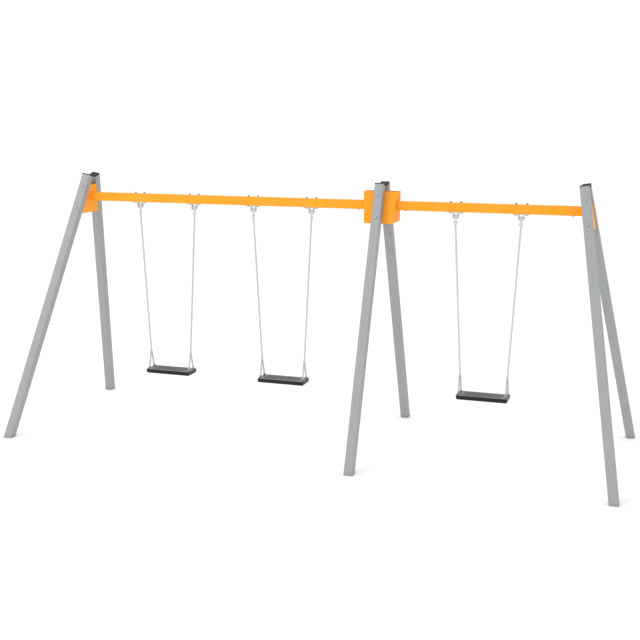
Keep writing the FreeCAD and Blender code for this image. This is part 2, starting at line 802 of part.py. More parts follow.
def make_yoke(name, centre):
    """Barrel on the pivot bolt, with a neck that tapers to the shackle's eye."""
    place = Placement(centre, UPRIGHT)
    barrel = cylinder(f"{name}_barrel", place * at(-dim("barrel_half"), 0, 0, ALONG_X),
                      "dims.barrel_round", "2 * dims.barrel_half")
    neck = frustum(f"{name}_neck", place, "dims.neck_half_bottom", "dims.neck_thick / 2",
                   "dims.neck_half_top", "dims.neck_thick / 2", "-dims.neck_drop", "0")
    throat = block(f"{name}_throat", place * at(z=-dim("yoke_drop")),
                   "2 * dims.yoke_eye_half", "dims.neck_thick",
                   "dims.yoke_drop - dims.neck_drop")
    eye_place = place * at(-dim("yoke_eye_half"), 0, -dim("yoke_drop"), ALONG_X)
    eye = cylinder(f"{name}_eye", eye_place, "dims.yoke_eye_round", "2 * dims.yoke_eye_half")
    blank = fuse(f"{name}_blank", barrel, neck, throat, eye)
    bush_hole = cylinder(f"{name}_bush_hole", barrel.Placement,
                         "dims.bush_round", "2 * dims.barrel_half")
    pin_hole = cylinder(f"{name}_pin_hole", eye_place,
                        "dims.small_shank + dims.run_slack", "2 * dims.yoke_eye_half")
    return cut(name, blank, bush_hole, pin_hole)


def make_bush(name, centre):
    place = Placement(centre, UPRIGHT) * at(-dim("barrel_half"), 0, 0, ALONG_X)
    sleeve = cylinder(f"{name}_sleeve", place, "dims.bush_round", "2 * dims.barrel_half")
    hole = cylinder(f"{name}_hole", place, "dims.pivot_shank + dims.run_slack",
                    "2 * dims.barrel_half")
    return cut(name, sleeve, hole)


def make_shackle(name, kind, pin_centre, turn):
    """Bow of round bar with two eyes; the bow hangs along local -Z from the pin."""
    place = Placement(pin_centre, turn)
    half, wire = dim(f"{kind}_bow_half"), dim(f"{kind}_bow_wire")
    straight = dim(f"{kind}_bow_straight")
    bow = primitive("Torus", f"{name}_bow", place * at(z=-straight, turn=ALONG_Y),
                    Radius1=f"dims.{kind}_bow_half", Radius2=f"dims.{kind}_bow_wire")
    bow.Angle3 = 180
    pieces = [bow]
    for hand, sign in HANDS.items():
        side = place * at(sign * half, 0, -straight)
        pieces.append(cylinder(f"{name}_side_{hand}", side, f"dims.{kind}_bow_wire",
                               f"dims.{kind}_bow_straight"))
        eye = place * at(sign * half - wire - dim("eye_over"), 0, 0, ALONG_X)
        pieces.append(cylinder(f"{name}_eye_{hand}", eye, f"dims.{kind}_bow_eye",
                               f"2 * (dims.{kind}_bow_wire + dims.eye_over)"))
    hole = cylinder(f"{name}_hole", place * at(-2 * half, 0, 0, ALONG_X),
                    "dims.small_shank + dims.thread_slack", f"4 * dims.{kind}_bow_half")
    return cut(name, fuse(f"{name}_blank", *pieces), hole)


def pin_width(kind):
    """Width of a shackle over both eyes, as an expression."""
    return f"2 * (dims.{kind}_bow_half + dims.{kind}_bow_wire + dims.eye_over)"


def pin_start(kind, pin_centre):
    """Outer face of a shackle's left eye, pointing to the right."""
    reach = dim(f"{kind}_bow_half") + dim(f"{kind}_bow_wire") + dim("eye_over")
    return Placement(pin_centre, UPRIGHT) * at(-reach, 0, 0, ALONG_X)


def make_top_pin(name, pin_centre):
    """Pin with a flat round head on the outside of one eye."""
    place = pin_start("top", pin_centre)
    shank = cylinder(f"{name}_shank", place, "dims.small_shank",
                     f"{pin_width('top')} + dims.pin_end")
    head = cylinder(f"{name}_head", place * at(z=-dim("pin_head")),
                    "dims.pin_head_round", "dims.pin_head")
    return fuse(name, shank, head)


def make_apex_pin(name, pin_centre):
    """Plain pin, riveted flush in both eyes."""
    return cylinder(name, pin_start("apex", pin_centre), "dims.small_shank", pin_width("apex"))


def make_chain(name, number, hand):
    """Straight run of chain, as one slim solid of the chain's own weight."""
    start, end = chain_line(number, hand)
    direction = (end - start).normalize()
    place = Placement(start + direction * dim("chain_end"), Rotation(Z_AXIS, direction))
    return keep(cylinder(name, place, "dims.chain_rod",
                         "dims.chain_links * dims.link_pitch - 2 * dims.chain_end"), name)


# ---------------------------------------------------------------- seats

def make_seat_chain(name, number, hand, side):
    """One short chain from the apex pin to a seat bolt, with a ring at each end."""
    foot = lug(number, hand, side)
    head = Vector(foot.x, 0, apex(number, hand).z)
    direction = (foot - head).normalize()
    place = Placement(head, Rotation(Z_AXIS, direction))
    rod = cylinder(f"{name}_rod", place * at(z=dim("seat_rod_end")), "dims.seat_rod",
                   "dims.seat_chain_links * dims.link_pitch"
                   " - 2 * dims.small_shank - 2 * dims.seat_rod_end")
    pieces = [rod]
    holes = []
    for end, centre in {"top": head, "bottom": foot}.items():
        ring = Placement(centre, UPRIGHT) * at(-dim("end_ring_wide") / 2, 0, 0, ALONG_X)
        ring = ring * at(turn=Rotation(Z_AXIS, 90))
        pieces.append(cylinder(f"{name}_{end}_ring", ring, "dims.end_ring_round",
                               "dims.end_ring_wide"))
        holes.append(cylinder(f"{name}_{end}_hole", ring, "dims.small_shank + dims.run_slack",
                              "dims.end_ring_wide"))
    return cut(name, fuse(f"{name}_blank", *pieces), *holes)


def make_core(name, number):
    """Steel insert moulded into the seat, with a pair of lugs at each corner."""
    top = seat_top(number)
    plate_place = at(top.x, 0, top.z - dim("core_depth") - dim("core_thick"))
    pieces = [block(f"{name}_plate", plate_place, "dims.core_long", "dims.core_deep",
                    "dims.core_thick")]
    holes = []
    for hand in HANDS:
        for side in SIDES:
            centre = lug(number, hand, side)
            key = f"{name}_{hand}_{side}"
            width = dim("lug_half_gap") + dim("lug_thick")
            for sign in HANDS.values():
                x = sign * (dim("lug_half_gap") + dim("lug_thick") / 2)
                tab = Placement(centre, UPRIGHT) * at(x, 0, -dim("lug_height") - dim("core_depth"))
                pieces.append(block(f"{key}_tab_{sign + 1}", tab, "dims.lug_thick",
                                    "2 * dims.lug_round", "dims.lug_height + dims.core_depth"))
                end = Placement(centre, UPRIGHT) * at(x - dim("lug_thick") / 2, 0, 0, ALONG_X)
                pieces.append(cylinder(f"{key}_end_{sign + 1}", end, "dims.lug_round",
                                       "dims.lug_thick"))
            holes.append(cylinder(f"{key}_hole", Placement(centre, UPRIGHT)
                                  * at(-width, 0, 0, ALONG_X),
                                  "dims.small_shank + dims.thread_slack",
                                  "2 * (dims.lug_half_gap + dims.lug_thick)"))
    return cut(name, fuse(f"{name}_blank", *pieces), *holes)


def make_seat_form(name, number):
    """Flat moulded seat with round corners and soft edges."""
    body = doc.addObject("PartDesign::Body", name)
    outline = new_sketch(body, f"{name}_outline")
    draw_rectangle(outline, "dims.seat_long", "dims.seat_deep")
    slab = pad(body, f"{name}_slab", outline, "dims.seat_thick", down=True)
    doc.recompute()
    low = -dim("seat_thick")
    corners = dress(body, "Fillet", f"{name}_corners", slab, upright_edges(slab, low),
                    "Radius", "dims.seat_corner")
    doc.recompute()
    rims = edges_where(corners, lambda point: abs(point.z) < 0.01)
    rims += edges_where(corners, lambda point: abs(point.z - low) < 0.01)
    dress(body, "Fillet", f"{name}_rims", corners, rims, "Radius", "dims.seat_edge")
    body.Placement = Placement(seat_top(number), UPRIGHT)
    return body


def make_seat(number, core):
    """Rubber body: the moulded form less its insert and a recess at each lug."""
    name = f"seat_{number}"
    form = make_seat_form(f"{name}_form", number)
    tools = [core]
    for hand in HANDS:
        for side in SIDES:
            centre = lug(number, hand, side)
            place = at(centre.x, centre.y, seat_top(number).z - dim("recess_deep"))
            tools.append(block(f"{name}_recess_{hand}_{side}", place, "dims.recess_wide",
                               "dims.recess_long", "2 * dims.recess_deep"))
    return keep(cut(name, form, fuse(f"{name}_tool", *tools)), name)


def make_seat_bolts(number):
    """Bolt and nut through each pair of lugs."""
    pieces = []
    width = dim("lug_half_gap") + dim("lug_thick")
    length = "2 * (dims.lug_half_gap + dims.lug_thick) + dims.small_nut + dims.thread_end"
    for hand in HANDS:
        for side in SIDES:
            place = Placement(lug(number, hand, side), UPRIGHT) * at(-width, 0, 0, ALONG_X)
            key = f"seat_bolt_{number}_{hand}_{side}"
            pieces.append(bolt(key, place, "small", length))
            pieces.append(nut(f"{key}_nut", place * at(z=2 * width), "small"))
    return keep(group(f"seat_bolt_set_{number}", pieces), f"seat_bolts_{number}")


# ---------------------------------------------------------------- assembly

def build_frame():
    ground, under = make_ground()
    for frame in FRAMES:
        for side in SIDES:
            make_leg(frame, side, ground, under)
        make_caps(frame)
    make_end_connector("left", screw_cutters("spigot_left", "left"))
    make_middle_connector(screw_cutters("spigot_middle", "middle"))
    make_end_connector("right", screw_cutters("spigot_right", "right"))
    make_beam("beam_long", -HALF_LENGTH, MIDDLE_X, "dims.bay_long", ("left", "middle"))
    make_beam("beam_short", MIDDLE_X, HALF_LENGTH, "dims.bay_short", ("middle", "right"))
    make_leg_fasteners()
    make_beam_screws()


def build_hangers():
    """Fixed hanger parts of all swings: brackets, their bolts and the pivot bolts."""
    bolt_length = ("dims.base_thick + dims.tube_size + dims.middle_flange"
                   " + dims.middle_nut + dims.thread_end")
    pivot_length = "2 * (dims.ear_inside + dims.ear_thick) + dims.pivot_nut + dims.pin_end"
    bolts, nuts, pivot_bolts, pivot_nuts = [], [], [], []
    outside = dim("ear_inside") + dim("ear_thick")
    for number in SWING_CENTRES:
        brackets = []
        for hand in HANDS:
            key = f"{number}_{hand}"
            point = HANGERS[number, hand]
            brackets.append(make_bracket(f"bracket_{key}", point))
            for sign in HANDS.values():
                x = point.x + sign * dim("base_bolt_half")
                below = at(x, 0, BEAM_UNDERSIDE - dim("base_thick"))
                bolts.append(bolt(f"hanger_bolt_{key}_{sign + 1}", below, "middle", bolt_length))
                nuts.append(flange_nut(f"hanger_nut_{key}_{sign + 1}", at(x, 0, BEAM_TOP)))
            axle = Placement(pivot(number, hand), UPRIGHT) * at(-outside, 0, 0, ALONG_X)
            pivot_bolts.append(bolt(f"pivot_bolt_{key}", axle, "pivot", pivot_length))
            pivot_nuts.append(nut(f"pivot_nut_{key}", axle * at(z=2 * outside), "pivot"))
        keep(group(f"bracket_pair_{number}", brackets), f"hanger_brackets_{number}")
    keep(group("hanger_bolt_set", bolts), "hanger_bolts")
    keep(group("hanger_nut_set", nuts), "hanger_nuts")
    keep(group("pivot_bolt_set", pivot_bolts), "pivot_bolts")
    keep(group("pivot_nut_set", pivot_nuts), "pivot_nuts")


def build_swing(number):
    """Everything that moves on one swing."""
    yokes, bushes, shackles, pins, seat_chains = [], [], [], [], []
    for hand in HANDS:
        key = f"{number}_{hand}"
        centre = pivot(number, hand)
        top_pin = centre - Vector(0, 0, dim("yoke_drop"))
        low_pin = apex(number, hand)
        yokes.append(make_yoke(f"yoke_{key}", centre))
        bushes.append(make_bush(f"bush_{key}", centre))
        shackles.append(make_shackle(f"top_shackle_{key}", "top", top_pin, UPRIGHT))
        shackles.append(make_shackle(f"apex_shackle_{key}", "apex", low_pin, UPSIDE_DOWN))
        pins.append(make_top_pin(f"top_pin_{key}", top_pin))
        pins.append(make_apex_pin(f"apex_pin_{key}", low_pin))
        make_chain(f"chain_{hand}_{number}", number, hand)
        for side in SIDES:
            seat_chains.append(make_seat_chain(f"seat_chain_{key}_{side}", number, hand, side))
    keep(group(f"yoke_pair_{number}", yokes), f"hanger_yokes_{number}")
    keep(group(f"bush_pair_{number}", bushes), f"hanger_bushes_{number}")
    keep(group(f"shackle_set_{number}", shackles), f"shackles_{number}")
    keep(group(f"pin_set_{number}", pins), f"shackle_pins_{number}")
    keep(group(f"seat_chain_set_{number}", seat_chains), f"seat_chains_{number}")
    core = keep(make_core(f"core_{number}", number), f"seat_core_{number}")
    make_seat(number, core)
    make_seat_bolts(number)


def check_and_export():
    """Stop on any failed object, then write one STEP file for each sub-part."""
    doc.recompute()
    for thing in doc.Objects:
        if "Invalid" in thing.State or "Error" in thing.State:
            raise RuntimeError(f"{thing.Name} failed: {thing.State}")
    for solid in sub_parts:
        shape = solid.Shape
        if shape.isNull() or not shape.isValid() or not shape.Solids:
            raise RuntimeError(f"{solid.Label} has no valid solid")
    os.makedirs("parts", exist_ok=True)
    for solid in sub_parts:
        solid.Shape.exportStep(f"parts/{solid.Label}.step")
        print(f"{solid.Label}: {len(solid.Shape.Solids)} solids,"
              f" {solid.Shape.Volume / 1000:.1f} cm3")


build_frame()
build_hangers()
for swing_number in SWING_CENTRES:
    build_swing(swing_number)
check_and_export()
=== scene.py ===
# %% [markdown]
# # A playground swing frame with three flat seats
# Three A-frames of galvanised square tube carry two orange beams in one line, and three rubber
# seats hang below the beams on short-link chain. The imported CAD model already holds every size,
# every joint and most shapes. This lesson adds what a CAD model leaves plain: real chain links,
# moulded rubber seats, weld beads, and a used outdoor finish on every piece.
#
# The first cell loads the CAD model as a fixed frame, with a helper that measures a CAD part's
# box. Nothing that is added here may make the object larger.

# %% Load the frame
import json
import math

import bmesh
import bpy
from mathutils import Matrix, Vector


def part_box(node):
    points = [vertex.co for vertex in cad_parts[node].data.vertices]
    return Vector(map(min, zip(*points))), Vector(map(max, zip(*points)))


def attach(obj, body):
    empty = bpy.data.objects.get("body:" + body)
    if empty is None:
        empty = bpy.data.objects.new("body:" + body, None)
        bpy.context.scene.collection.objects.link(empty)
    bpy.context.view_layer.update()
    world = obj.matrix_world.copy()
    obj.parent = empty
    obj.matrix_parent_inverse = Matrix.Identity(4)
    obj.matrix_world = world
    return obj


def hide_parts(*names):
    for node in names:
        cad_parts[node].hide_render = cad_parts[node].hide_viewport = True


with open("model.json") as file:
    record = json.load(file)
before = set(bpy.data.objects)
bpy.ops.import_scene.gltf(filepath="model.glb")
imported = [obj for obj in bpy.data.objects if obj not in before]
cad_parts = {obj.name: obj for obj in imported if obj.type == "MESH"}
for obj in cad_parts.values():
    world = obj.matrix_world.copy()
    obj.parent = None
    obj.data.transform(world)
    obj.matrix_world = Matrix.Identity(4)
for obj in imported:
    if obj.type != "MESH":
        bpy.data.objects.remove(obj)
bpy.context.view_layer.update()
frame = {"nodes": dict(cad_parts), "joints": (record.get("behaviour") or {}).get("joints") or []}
scene = bpy.context.scene
joints = {joint["name"]: joint for joint in frame["joints"]}
SWINGS = (1, 2, 3)

# %% [markdown]
# ## Camera
# Something this long is best seen from far away through a long lens, so that the near end
# doesn't swell. The camera stands ten metres in front of the short bay's end, three metres up,
# and looks slightly down and to the left.

# %% Camera
EYE = (3.3796, -9.7994, 3.1880)
LOOK_DOWN = 11.105
LOOK_LEFT = 19.023
LENS_MM = 62.70

lens = bpy.data.cameras.new("camera")
lens.lens = LENS_MM
lens.sensor_width = 36.0
camera = bpy.data.objects.new("camera", lens)
camera.location = EYE
camera.rotation_euler = (math.radians(90 - LOOK_DOWN), 0, math.radians(LOOK_LEFT))
scene.collection.objects.link(camera)
scene.camera = camera
print("camera at", EYE, "with a", LENS_MM, "mm lens")

# %% [markdown]
# ## Trees of nodes, written as Python
# A finish and a repeated shape are both trees of nodes. Clicking them together is one way; a
# script can do the same with two small classes. `Signal` wraps a socket, and sums, differences
# and products of signals add Math nodes, so `1 - dust` is a valid line. `Tree.node` makes any
# other node: its settings come first, because some of them change which sockets exist, and then
# each socket takes a number or another signal.

# %% Signals and trees
class Signal:
    """A socket of a node tree that Python arithmetic turns into Math nodes."""

    def __init__(self, tree, socket):
        self.tree = tree
        self.socket = socket

    def math(self, operation, first, second):
        return self.tree.node("ShaderNodeMath", {"operation": operation}, {0: first, 1: second})

    def __add__(self, other):
        return self.math("ADD", self, other)

    def __sub__(self, other):
        return self.math("SUBTRACT", self, other)

    def __rsub__(self, other):
        return self.math("SUBTRACT", other, self)

    def __mul__(self, other):
        return self.math("MULTIPLY", self, other)

    def __mod__(self, other):
        return self.math("FLOORED_MODULO", self, other)

    __radd__ = __add__
    __rmul__ = __mul__


class Tree:
    """A node tree, with one way to add nodes of any kind."""

    def __init__(self, nodes, links):
        self.nodes = nodes
        self.links = links

    def node(self, kind, settings=(), inputs=(), output=0):
        made = self.nodes.new(kind)
        for name, value in dict(settings).items():
            setattr(made, name, value)
        for name, value in dict(inputs).items():
            self.give(made.inputs[name], value)
        return Signal(self, made.outputs[output])

    def give(self, socket, value):
        if isinstance(value, Signal):
            self.links.new(value.socket, socket)
        else:
            socket.default_value = value

    def axis(self, vector, letter):
        return self.node("ShaderNodeSeparateXYZ", {}, {"Vector": vector}, letter)


print("node classes ready")

# %% [markdown]
# ## What every finish shares
# Every finish here is the same Principled shader with different patterns on it. The patterns
# read Object coordinates, which are metres in the object's own frame, so a scale of 100 makes
# marks about a centimetre apart, and a pattern stays on its piece when the swing moves.
#
# Worn corners need to know where the corners are. The Bevel node answers that without touching
# the mesh: it returns the normal that a rounded corner would have, and where that differs from
# the true normal there is a corner. The same rounded normal also softens how corners catch light.

# %% Finish
class Finish(Tree):
    """A material whose patterns feed one Principled shader."""

    def __init__(self, name, constants=()):
        self.material = bpy.data.materials.new(name)
        self.material.use_nodes = True
        super().__init__(self.material.node_tree.nodes, self.material.node_tree.links)
        self.shader = next(node for node in self.nodes if node.type == "BSDF_PRINCIPLED")
        for socket, value in dict(constants).items():
            self.shader.inputs[socket].default_value = value
        self.place = self.node("ShaderNodeTexCoord", output="Object")

    def feed(self, socket, value):
        self.give(self.shader.inputs[socket], value)

    def stretched(self, scale, middle=(0, 0, 0)):
        """Object coordinates from a middle point, multiplied along each axis."""
        centred = self.node("ShaderNodeVectorMath", {"operation": "SUBTRACT"},
                            {0: self.place, 1: middle})
        return self.node("ShaderNodeVectorMath", {"operation": "MULTIPLY"},
                         {0: centred, 1: scale})

    def noise(self, scale, detail=2.0, grain=0.5, stretch=(1, 1, 1)):
        """Smooth random values about 0.5, with marks 1/scale metres apart."""
        return self.node("ShaderNodeTexNoise", {}, {
            "Vector": self.stretched(stretch), "Scale": scale, "Detail": detail,
            "Roughness": grain})

    def cells(self, scale):
        """Random crystal-like cells 1/scale metres wide."""
        colour = self.node("ShaderNodeTexVoronoi", {}, {"Vector": self.place, "Scale": scale},
                           "Color")
        return self.node("ShaderNodeSeparateColor", {}, {"Color": colour})

    def ramp(self, value, low, high):
        """0 below low, 1 above high, and a soft step between."""
        return self.node("ShaderNodeMapRange", {"interpolation_type": "SMOOTHSTEP"},
                         {"Value": value, "From Min": low, "From Max": high})

    def facing_up(self):
        """1 on upward faces of the piece, 0 on its sides."""
        normal = self.node("ShaderNodeTexCoord", output="Normal")
        return self.ramp(self.axis(normal, "Z"), 0.3, 0.95)

    def rounded(self, radius):
        return self.node("ShaderNodeBevel", {"samples": 4}, {"Radius": radius})

    def corners(self, radius):
        """1 along sharp corners, fading to 0 within the radius."""
        true_normal = self.node("ShaderNodeNewGeometry", output="Normal")
        match = self.node("ShaderNodeVectorMath", {"operation": "DOT_PRODUCT"},
                          {0: self.rounded(radius), 1: true_normal}, "Value")
        return self.ramp(1 - match, 0.01, 0.16)

    def tint(self, amount, under, over):
        """Colour under, covered by colour over where amount is 1."""
        return self.node("ShaderNodeMix", {"data_type": "RGBA"},
                         {0: amount, 6: under, 7: over}, 2)

    def relief(self, height, depth, under=None):
        """Bump normals from a height signal, on top of other bumps."""
        inputs = {"Height": height, "Distance": depth, "Strength": 1.0}
        if under is not None:
            inputs["Normal"] = under
        return self.node("ShaderNodeBump", {}, inputs)


def paint(finish, *nodes):
    """Give CAD nodes a finish through their own material slots."""
    for name in nodes:
        for slot in frame["nodes"][name].material_slots:
            slot.material = finish.material
    print(finish.material.name, "on", len(nodes), "CAD nodes")


def nodes_named(*starts):
    return [name for name in sorted(frame["nodes"]) if name.startswith(starts)]

# %% [markdown]
# ## Floor and light
# The floor is plain and nearly white, and wide enough that its edge lies out of view. An even
# white sky lights everything softly and leaves only a faint contact shadow at each foot. One
# large panel high in front gives the tubes a lit side. Plain colour handling keeps white white.

# %% Floor, sky and panel
FLOOR_REACH = 60.0
SKY_STRENGTH = 1.12
PANEL_PLACE = Vector((-4.5, -7.0, 8.5))
PANEL_AIM = Vector((0, 0, 1.2))
PANEL_SIZE = 6.0
PANEL_POWER = 260.0
FLOOR_WHITE = (0.95, 0.95, 0.95, 1)
FLOOR_SHADE = (0.93, 0.93, 0.93, 1)

floor_finish = Finish("studio_floor", {"Roughness": 0.9})
floor_finish.feed("Base Color", floor_finish.tint(
    floor_finish.noise(1.5), FLOOR_SHADE, FLOOR_WHITE))
floor_mesh = bpy.data.meshes.new("floor")
floor_mesh.from_pydata([(x * FLOOR_REACH, y * FLOOR_REACH, 0)
                        for x, y in ((-1, -1), (1, -1), (1, 1), (-1, 1))], [], [(0, 1, 2, 3)])
floor_mesh.materials.append(floor_finish.material)
floor = bpy.data.objects.new("floor", floor_mesh)
scene.collection.objects.link(floor)

scene.world = bpy.data.worlds.new("white_sky")
scene.world.use_nodes = True
sky = scene.world.node_tree.nodes["Background"]
sky.inputs["Color"].default_value = (1, 1, 1, 1)
sky.inputs["Strength"].default_value = SKY_STRENGTH

panel_light = bpy.data.lights.new("panel", "AREA")
panel_light.size = PANEL_SIZE
panel_light.energy = PANEL_POWER
panel = bpy.data.objects.new("panel", panel_light)
panel.location = PANEL_PLACE
panel.rotation_euler = (PANEL_AIM - PANEL_PLACE).to_track_quat("-Z", "Y").to_euler()
scene.collection.objects.link(panel)
scene.view_settings.view_transform = "Standard"
print("floor", 2 * FLOOR_REACH, "m wide; sky", SKY_STRENGTH, "; panel", PANEL_POWER, "W")

# %% [markdown]
# ## Galvanised legs
# The legs were dipped in molten zinc. Zinc freezes in crystals, the spangle, which show as faint
# flat patches a centimetre or so wide, and weather then dulls the whole to an even light grey.
# A tiled texture would repeat down a two and a half metre leg; a Voronoi pattern never repeats.
# Long faint runs follow the leg, splashed soil darkens the last few centimetres above the
# ground, and the corners are a little duller where hands and tools have been.

# %% Galvanised steel
ZINC = (0.335, 0.345, 0.352, 1)
ZINC_DULL = (0.300, 0.310, 0.317, 1)
ZINC_BRIGHT = (0.370, 0.380, 0.387, 1)
SOIL = (0.19, 0.165, 0.135, 1)
SPLASH_HEIGHT = 0.05


def galvanised(name):
    """Weathered hot-dip zinc, with soil splashed on it near the ground."""
    steel = Finish(name, {"Metallic": 0.25, "Specular IOR Level": 0.3})
    spangle = steel.cells(85)
    cloud = steel.noise(5, 4, 0.6)
    runs = steel.noise(28, 3, 0.6, (1, 1, 0.05))
    fine = steel.noise(520, 2, 0.6)
    colour = steel.tint(steel.ramp(cloud + 0.45 * spangle, 0.35, 1.15), ZINC_DULL, ZINC_BRIGHT)
    colour = steel.tint(0.45, colour, ZINC)
    colour = steel.tint(0.35 * steel.ramp(runs, 0.56, 0.74), colour, ZINC_DULL)
    colour = steel.tint(0.4 * steel.corners(0.004) * steel.noise(60), colour, ZINC_DULL)
    height = steel.axis(steel.place, "Z")
    nearness = (0.5 / SPLASH_HEIGHT) * (SPLASH_HEIGHT - height)
    splash = steel.ramp(steel.noise(46, 4, 0.65) + nearness, 0.62, 1.0)
    low_down = 1 - steel.ramp(height, 0, 1.6 * SPLASH_HEIGHT)
    colour = steel.tint(0.3 * splash * low_down, colour, SOIL)
    steel.feed("Base Color", colour)
    steel.feed("Roughness", 0.52 + 0.14 * cloud + 0.06 * spangle + 0.1 * splash)
    steel.feed("Normal", steel.relief(0.4 * fine + 0.6 * steel.noise(70, 3), 0.0005,
                                      steel.rounded(0.0015)))
    return steel


leg_zinc = galvanised("galvanised_legs")
paint(leg_zinc, *nodes_named("leg_left", "leg_middle", "leg_right"))

# %% [markdown]
# ## Orange beams and connectors
# Beams and connectors are powder coated: orange dust is baked into a tough low sheen with a
# faint orange-peel ripple. A single flat colour looks like plastic, so the coat fades slightly in
# clouds, dust lies on the upper faces, and here and there a corner is chipped down to the zinc.

# %% Powder coat
ORANGE = (0.88, 0.325, 0.014, 1)
ORANGE_FADED = (0.90, 0.350, 0.024, 1)
ORANGE_DEEP = (0.84, 0.295, 0.008, 1)
DUST = (0.62, 0.56, 0.48, 1)

coat = Finish("orange_powder_coat", {
    "Specular IOR Level": 0.15, "Coat Weight": 0.02, "Coat Roughness": 0.3})
fade = coat.noise(3.5, 4, 0.6)
grime = coat.noise(38, 4, 0.65)
chips = coat.corners(0.003) * coat.ramp(coat.noise(95, 3, 0.7), 0.60, 0.66)
coat_colour = coat.tint(coat.ramp(fade, 0.3, 0.7), ORANGE, ORANGE_FADED)
coat_colour = coat.tint(0.5 * coat.ramp(coat.noise(24, 3, 0.6, (1, 1, 0.15)), 0.55, 0.8),
                        coat_colour, ORANGE_DEEP)
coat_colour = coat.tint(0.12 * coat.facing_up() * coat.ramp(grime, 0.35, 0.75), coat_colour, DUST)
coat_colour = coat.tint(chips, coat_colour, ZINC)
coat.feed("Base Color", coat_colour)
coat.feed("Metallic", 0.5 * chips)
coat.feed("Roughness", 0.50 + 0.14 * fade + 0.18 * coat.facing_up() * grime)
coat.feed("Normal", coat.relief(coat.noise(420, 1) - 0.6 * chips, 0.0003, coat.rounded(0.002)))
paint(coat, *nodes_named("beam_long", "beam_short", "connector", "spigot"))

# %% [markdown]
# ## Leg caps
# Each leg's open top is shut by a black moulded cap. Moulded plastic is dark with a fine leathery
# grain from its mould. Sun and rain leave a pale bloom on the lid and scratches on its rim.

# %% Cap plastic
CAP_BLACK = (0.007, 0.007, 0.008, 1)
CAP_BLOOM = (0.035, 0.034, 0.033, 1)

cap_plastic = Finish("cap_plastic", {"Specular IOR Level": 0.25})
bloom = cap_plastic.ramp(cap_plastic.noise(34, 4, 0.65), 0.42, 0.8)
scuffs = cap_plastic.corners(0.003) * cap_plastic.ramp(cap_plastic.noise(180, 2), 0.45, 0.65)
cap_colour = cap_plastic.tint(0.5 * bloom * cap_plastic.facing_up(), CAP_BLACK, CAP_BLOOM)
cap_plastic.feed("Base Color", cap_plastic.tint(0.6 * scuffs, cap_colour, CAP_BLOOM))
cap_plastic.feed("Roughness", 0.42 + 0.2 * bloom)
cap_plastic.feed("Normal", cap_plastic.relief(cap_plastic.cells(900), 0.0002,
                                              cap_plastic.rounded(0.001)))
paint(cap_plastic, *nodes_named("leg_caps"))

# %% [markdown]
# ## Zinc-plated hardware
# Plating is smoother than dipped zinc. Handling polishes its corners, and moisture leaves a grey
# bloom in patches. Bolts, nuts and washers have dulled most. Brackets, yokes and shackles are
# heavier pieces that turn and rub, so they stay brighter, and the seats' steel lies between.

# %% Plated hardware
PLATE_BRIGHT = (0.40, 0.41, 0.42, 1)
PLATE_BLOOM = (0.30, 0.305, 0.31, 1)
HANGER_BRIGHT = (0.60, 0.61, 0.62, 1)
HANGER_BLOOM = (0.50, 0.51, 0.515, 1)
INSERT_BRIGHT = (0.50, 0.51, 0.52, 1)
RUST = (0.17, 0.075, 0.03, 1)


def plated(name, bright, bloom_colour, metallic, roughness, rust_amount):
    """Plated steel: bright on its corners, bloomed elsewhere, with a few specks of rust."""
    steel = Finish(name, {"Specular IOR Level": 0.5})
    bloomed = steel.ramp(steel.noise(75, 4, 0.65), 0.35, 0.7)
    rubbed = steel.corners(0.0025)
    specks = rust_amount * steel.ramp(steel.noise(260, 3, 0.7), 0.64, 0.72)
    colour = steel.tint(bloomed * (1 - 0.8 * rubbed), bright, bloom_colour)
    steel.feed("Base Color", steel.tint(specks, colour, RUST))
    steel.feed("Metallic", metallic - 0.3 * bloomed * metallic - 0.2 * specks)
    steel.feed("Roughness", roughness + 0.18 * bloomed - 0.1 * rubbed + 0.25 * specks)
    steel.feed("Normal", steel.relief(steel.noise(700, 2), 0.00015, steel.rounded(0.0008)))
    return steel


hardware = plated("plated_hardware", PLATE_BRIGHT, PLATE_BLOOM, 0.4, 0.48, 0.5)
paint(hardware, *nodes_named("leg_bolts", "leg_washers", "beam_screws", "hanger_bolts",
                             "hanger_nuts", "seat_bolts"))
hanger_steel = plated("hanger_steel", HANGER_BRIGHT, HANGER_BLOOM, 0.4, 0.42, 0.4)
paint(hanger_steel, *nodes_named("hanger_brackets", "hanger_yokes", "pivot_"))
insert_steel = plated("seat_insert_steel", INSERT_BRIGHT, PLATE_BLOOM, 0.5, 0.42, 0.7)
paint(insert_steel, *nodes_named("seat_core"))
shackle_steel = plated("shackle_steel", HANGER_BRIGHT, HANGER_BLOOM, 0.6, 0.34, 0.4)
paint(shackle_steel, *nodes_named("shackles", "shackle_pins"))

# %% [markdown]
# ## Bushes
# A nylon bush lines each yoke's barrel, so that steel never turns on steel. Only its end rings
# show. Nylon is dark and waxy, and turning rubs faint rings into it.

# %% Bush nylon
NYLON = (0.020, 0.020, 0.021, 1)
NYLON_RUBBED = (0.060, 0.060, 0.062, 1)

nylon = Finish("bush_nylon", {"Specular IOR Level": 0.4})
rubs = nylon.noise(900, 2, 0.5, (0.05, 1, 1))
nylon.feed("Base Color", nylon.tint(rubs, NYLON, NYLON_RUBBED))
nylon.feed("Roughness", 0.35 + 0.25 * rubs)
nylon.feed("Normal", nylon.relief(rubs, 0.0001))
paint(nylon, *nodes_named("hanger_bushes"))

# %% [markdown]
# ## Measuring the frame
# The new pieces have to meet the CAD pieces exactly: a link hangs inside a shackle's bow, and a
# recess surrounds a lug. So their places are measured from the CAD meshes, never typed in. One
# helper returns the box of those vertices of a node that pass a test.

